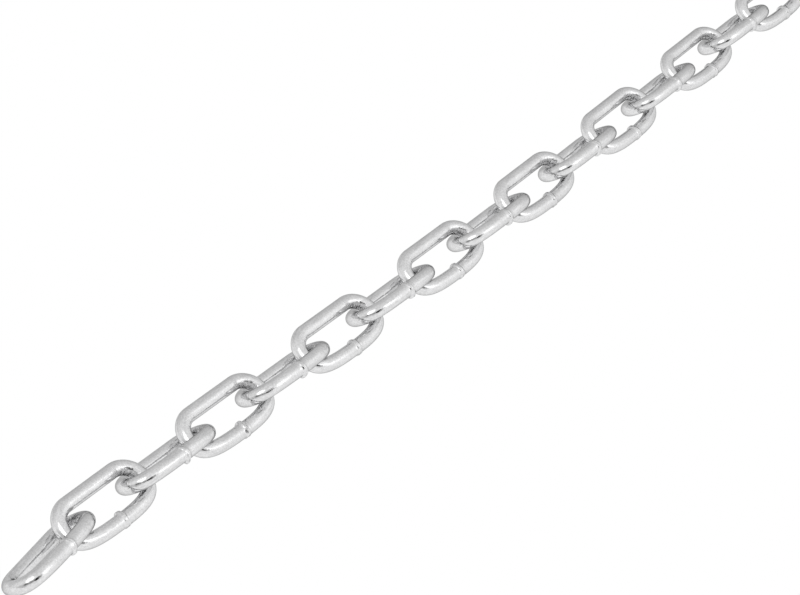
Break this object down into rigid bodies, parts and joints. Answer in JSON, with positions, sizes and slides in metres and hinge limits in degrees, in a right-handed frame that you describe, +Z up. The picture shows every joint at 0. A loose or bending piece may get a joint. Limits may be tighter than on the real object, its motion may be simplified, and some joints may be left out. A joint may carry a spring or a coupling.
{
  "type": "steel link chain",
  "caption": "Straight-laid length of welded short-link steel chain in bright zinc plating; each link hangs in the next and swings in it, so the chain bends, hangs and coils.",
  "frame": {"origin": "middle of the underside of the laid chain's box, on the ground", "axes": "+X along the laid chain, from its near loose end link to its far end link; +Z up; +Y towards the links' unwelded backs"},
  "size_m": [0.961, 0.0162, 0.0106],
  "materials": {
    "zinc_plating": "bright zinc plating, glossy, smooth drawn wire"
  },
  "bodies": {
    "link_01": {"link_01": "zinc_plating"},
    "link_02": {"link_02": "zinc_plating"},
    "link_03": {"link_03": "zinc_plating"},
    "link_04": {"link_04": "zinc_plating"},
    "link_05": {"link_05": "zinc_plating"},
    "link_06": {"link_06": "zinc_plating"},
    "link_07": {"link_07": "zinc_plating"},
    "link_08": {"link_08": "zinc_plating"},
    "link_09": {"link_09": "zinc_plating"},
    "link_10": {"link_10": "zinc_plating"},
    "link_11": {"link_11": "zinc_plating"},
    "link_12": {"link_12": "zinc_plating"},
    "link_13": {"link_13": "zinc_plating"},
    "link_14": {"link_14": "zinc_plating"},
    "link_15": {"link_15": "zinc_plating"},
    "link_16": {"link_16": "zinc_plating"},
    "link_17": {"link_17": "zinc_plating"},
    "link_18": {"link_18": "zinc_plating"},
    "link_19": {"link_19": "zinc_plating"},
    "link_20": {"link_20": "zinc_plating"},
    "link_21": {"link_21": "zinc_plating"},
    "link_22": {"link_22": "zinc_plating"},
    "link_23": {"link_23": "zinc_plating"},
    "link_24": {"link_24": "zinc_plating"},
    "link_25": {"link_25": "zinc_plating"},
    "link_26": {"link_26": "zinc_plating"},
    "link_27": {"link_27": "zinc_plating"},
    "link_28": {"link_28": "zinc_plating"},
    "link_29": {"link_29": "zinc_plating"},
    "link_30": {"link_30": "zinc_plating"},
    "link_31": {"link_31": "zinc_plating"},
    "link_32": {"link_32": "zinc_plating"},
    "link_33": {"link_33": "zinc_plating"},
    "link_34": {"link_34": "zinc_plating"},
    "link_35": {"link_35": "zinc_plating"},
    "link_36": {"link_36": "zinc_plating"},
    "link_37": {"link_37": "zinc_plating"},
    "link_38": {"link_38": "zinc_plating"},
    "link_39": {"link_39": "zinc_plating"},
    "link_40": {"link_40": "zinc_plating"},
    "link_41": {"link_41": "zinc_plating"},
    "link_42": {"link_42": "zinc_plating"}
  },
  "joints": [
    {"name": "link_01_swing", "type": "hinge", "parent": "link_02", "child": "link_01", "pos_m": [-0.45092, 0.00209, 0.00524], "axis": [0.0042, 0.5343, -0.8453], "range_deg": [-120, 120]},
    {"name": "link_02_swing", "type": "hinge", "parent": "link_03", "child": "link_02", "pos_m": [-0.42932, 0.00111, 0.00524], "axis": [0.0083, 0.5617, 0.8273], "range_deg": [-120, 120]},
    {"name": "link_03_swing", "type": "hinge", "parent": "link_04", "child": "link_03", "pos_m": [-0.40663, 0.00078, 0.00524], "axis": [-0.0106, -0.5342, 0.8453], "range_deg": [-120, 120]},
    {"name": "link_04_swing", "type": "hinge", "parent": "link_05", "child": "link_04", "pos_m": [-0.38393, 0.00032, 0.00524], "axis": [-0.0123, -0.5616, -0.8273], "range_deg": [-120, 120]},
    {"name": "link_05_swing", "type": "hinge", "parent": "link_06", "child": "link_05", "pos_m": [-0.36123, -0.00017, 0.00524], "axis": [0.0109, 0.5342, -0.8453], "range_deg": [-120, 120]},
    {"name": "link_06_swing", "type": "hinge", "parent": "link_07", "child": "link_06", "pos_m": [-0.33854, -0.00063, 0.00524], "axis": [0.0089, 0.5617, 0.8273], "range_deg": [-120, 120]},
    {"name": "link_07_swing", "type": "hinge", "parent": "link_08", "child": "link_07", "pos_m": [-0.31584, -0.00099, 0.00524], "axis": [-0.0047, -0.5343, 0.8453], "range_deg": [-120, 120]},
    {"name": "link_08_swing", "type": "hinge", "parent": "link_09", "child": "link_08", "pos_m": [-0.29314, -0.00119, 0.00524], "axis": [-0.0002, -0.5618, -0.8273], "range_deg": [-120, 120]},
    {"name": "link_09_swing", "type": "hinge", "parent": "link_10", "child": "link_09", "pos_m": [-0.27044, -0.0012, 0.00524], "axis": [-0.0043, 0.5343, -0.8453], "range_deg": [-120, 120]},
    {"name": "link_10_swing", "type": "hinge", "parent": "link_11", "child": "link_10", "pos_m": [-0.24774, -0.00101, 0.00524], "axis": [-0.0086, 0.5617, 0.8273], "range_deg": [-120, 120]},
    {"name": "link_11_swing", "type": "hinge", "parent": "link_12", "child": "link_11", "pos_m": [-0.22505, -0.00067, 0.00524], "axis": [0.0107, -0.5342, 0.8453], "range_deg": [-120, 120]},
    {"name": "link_12_swing", "type": "hinge", "parent": "link_13", "child": "link_12", "pos_m": [-0.20235, -0.00021, 0.00524], "axis": [0.0123, -0.5616, -0.8273], "range_deg": [-120, 120]},
    {"name": "link_13_swing", "type": "hinge", "parent": "link_14", "child": "link_13", "pos_m": [-0.17966, 0.00029, 0.00524], "axis": [-0.0108, 0.5342, -0.8453], "range_deg": [-120, 120]},
    {"name": "link_14_swing", "type": "hinge", "parent": "link_15", "child": "link_14", "pos_m": [-0.15696, 0.00074, 0.00524], "axis": [-0.0086, 0.5617, 0.8273], "range_deg": [-120, 120]},
    {"name": "link_15_swing", "type": "hinge", "parent": "link_16", "child": "link_15", "pos_m": [-0.13426, 0.00109, 0.00524], "axis": [0.0044, -0.5343, 0.8453], "range_deg": [-120, 120]},
    {"name": "link_16_swing", "type": "hinge", "parent": "link_17", "child": "link_16", "pos_m": [-0.11156, 0.00128, 0.00524], "axis": [-0.0001, -0.5618, -0.8273], "range_deg": [-120, 120]},
    {"name": "link_17_swing", "type": "hinge", "parent": "link_18", "child": "link_17", "pos_m": [-0.08886, 0.00127, 0.00524], "axis": [0.0046, 0.5343, -0.8453], "range_deg": [-120, 120]},
    {"name": "link_18_swing", "type": "hinge", "parent": "link_19", "child": "link_18", "pos_m": [-0.06617, 0.00108, 0.00524], "axis": [0.0088, 0.5617, 0.8273], "range_deg": [-120, 120]},
    {"name": "link_19_swing", "type": "hinge", "parent": "link_20", "child": "link_19", "pos_m": [-0.04347, 0.00072, 0.00524], "axis": [-0.0109, -0.5342, 0.8453], "range_deg": [-120, 120]},
    {"name": "link_20_swing", "type": "hinge", "parent": "link_21", "child": "link_20", "pos_m": [-0.02077, 0.00026, 0.00524], "axis": [-0.0123, -0.5616, -0.8273], "range_deg": [-120, 120]},
    {"name": "link_21_swing", "type": "hinge", "parent": "link_22", "child": "link_21", "pos_m": [0.00192, -0.00024, 0.00524], "axis": [0.0106, 0.5342, -0.8453], "range_deg": [-120, 120]},
    {"name": "link_23_swing", "type": "hinge", "parent": "link_22", "child": "link_23", "pos_m": [0.02462, -0.00069, 0.00524], "axis": [-0.0084, -0.5617, -0.8273], "range_deg": [-120, 120]},
    {"name": "link_24_swing", "type": "hinge", "parent": "link_23", "child": "link_24", "pos_m": [0.04731, -0.00103, 0.00524], "axis": [0.0041, 0.5343, -0.8453], "range_deg": [-120, 120]},
    {"name": "link_25_swing", "type": "hinge", "parent": "link_24", "child": "link_25", "pos_m": [0.07001, -0.0012, 0.00524], "axis": [-0.0005, 0.5618, 0.8273], "range_deg": [-120, 120]},
    {"name": "link_26_swing", "type": "hinge", "parent": "link_25", "child": "link_26", "pos_m": [0.09271, -0.00118, 0.00524], "axis": [0.0049, -0.5343, 0.8453], "range_deg": [-120, 120]},
    {"name": "link_27_swing", "type": "hinge", "parent": "link_26", "child": "link_27", "pos_m": [0.11541, -0.00097, 0.00524], "axis": [0.0091, -0.5617, -0.8273], "range_deg": [-120, 120]},
    {"name": "link_28_swing", "type": "hinge", "parent": "link_27", "child": "link_28", "pos_m": [0.13811, -0.00061, 0.00524], "axis": [-0.011, 0.5342, -0.8453], "range_deg": [-120, 120]},
    {"name": "link_29_swing", "type": "hinge", "parent": "link_28", "child": "link_29", "pos_m": [0.16081, -0.00014, 0.00524], "axis": [-0.0122, 0.5616, 0.8273], "range_deg": [-120, 120]},
    {"name": "link_30_swing", "type": "hinge", "parent": "link_29", "child": "link_30", "pos_m": [0.1835, 0.00036, 0.00524], "axis": [0.0105, -0.5342, 0.8453], "range_deg": [-120, 120]},
    {"name": "link_31_swing", "type": "hinge", "parent": "link_30", "child": "link_31", "pos_m": [0.20619, 0.0008, 0.00524], "axis": [0.0081, -0.5617, -0.8273], "range_deg": [-120, 120]},
    {"name": "link_32_swing", "type": "hinge", "parent": "link_31", "child": "link_32", "pos_m": [0.22889, 0.00113, 0.00524], "axis": [-0.0038, 0.5343, -0.8453], "range_deg": [-120, 120]},
    {"name": "link_33_swing", "type": "hinge", "parent": "link_32", "child": "link_33", "pos_m": [0.25159, 0.00129, 0.00524], "axis": [0.0008, 0.5618, 0.8273], "range_deg": [-120, 120]},
    {"name": "link_34_swing", "type": "hinge", "parent": "link_33", "child": "link_34", "pos_m": [0.27429, 0.00126, 0.00524], "axis": [-0.0052, -0.5343, 0.8453], "range_deg": [-120, 120]},
    {"name": "link_35_swing", "type": "hinge", "parent": "link_34", "child": "link_35", "pos_m": [0.29699, 0.00103, 0.00524], "axis": [-0.0093, -0.5617, -0.8273], "range_deg": [-120, 120]},
    {"name": "link_36_swing", "type": "hinge", "parent": "link_35", "child": "link_36", "pos_m": [0.31969, 0.00066, 0.00524], "axis": [0.0111, 0.5342, -0.8453], "range_deg": [-120, 120]},
    {"name": "link_37_swing", "type": "hinge", "parent": "link_36", "child": "link_37", "pos_m": [0.34238, 0.00019, 0.00524], "axis": [0.0122, 0.5616, 0.8273], "range_deg": [-120, 120]},
    {"name": "link_38_swing", "type": "hinge", "parent": "link_37", "child": "link_38", "pos_m": [0.36508, -0.0003, 0.00524], "axis": [-0.0104, -0.5343, 0.8453], "range_deg": [-120, 120]},
    {"name": "link_39_swing", "type": "hinge", "parent": "link_38", "child": "link_39", "pos_m": [0.38777, -0.00075, 0.00524], "axis": [-0.0079, -0.5617, -0.8273], "range_deg": [-120, 120]},
    {"name": "link_40_swing", "type": "hinge", "parent": "link_39", "child": "link_40", "pos_m": [0.41047, -0.00106, 0.00524], "axis": [0.0035, 0.5343, -0.8453], "range_deg": [-120, 120]},
    {"name": "link_41_swing", "type": "hinge", "parent": "link_40", "child": "link_41", "pos_m": [0.43317, -0.00121, 0.00524], "axis": [-0.0012, 0.5618, 0.8273], "range_deg": [-120, 120]},
    {"name": "link_42_swing", "type": "hinge", "parent": "link_41", "child": "link_42", "pos_m": [0.45587, -0.00116, 0.00524], "axis": [0.0055, -0.5343, 0.8453], "range_deg": [-120, 120]}
  ]
}
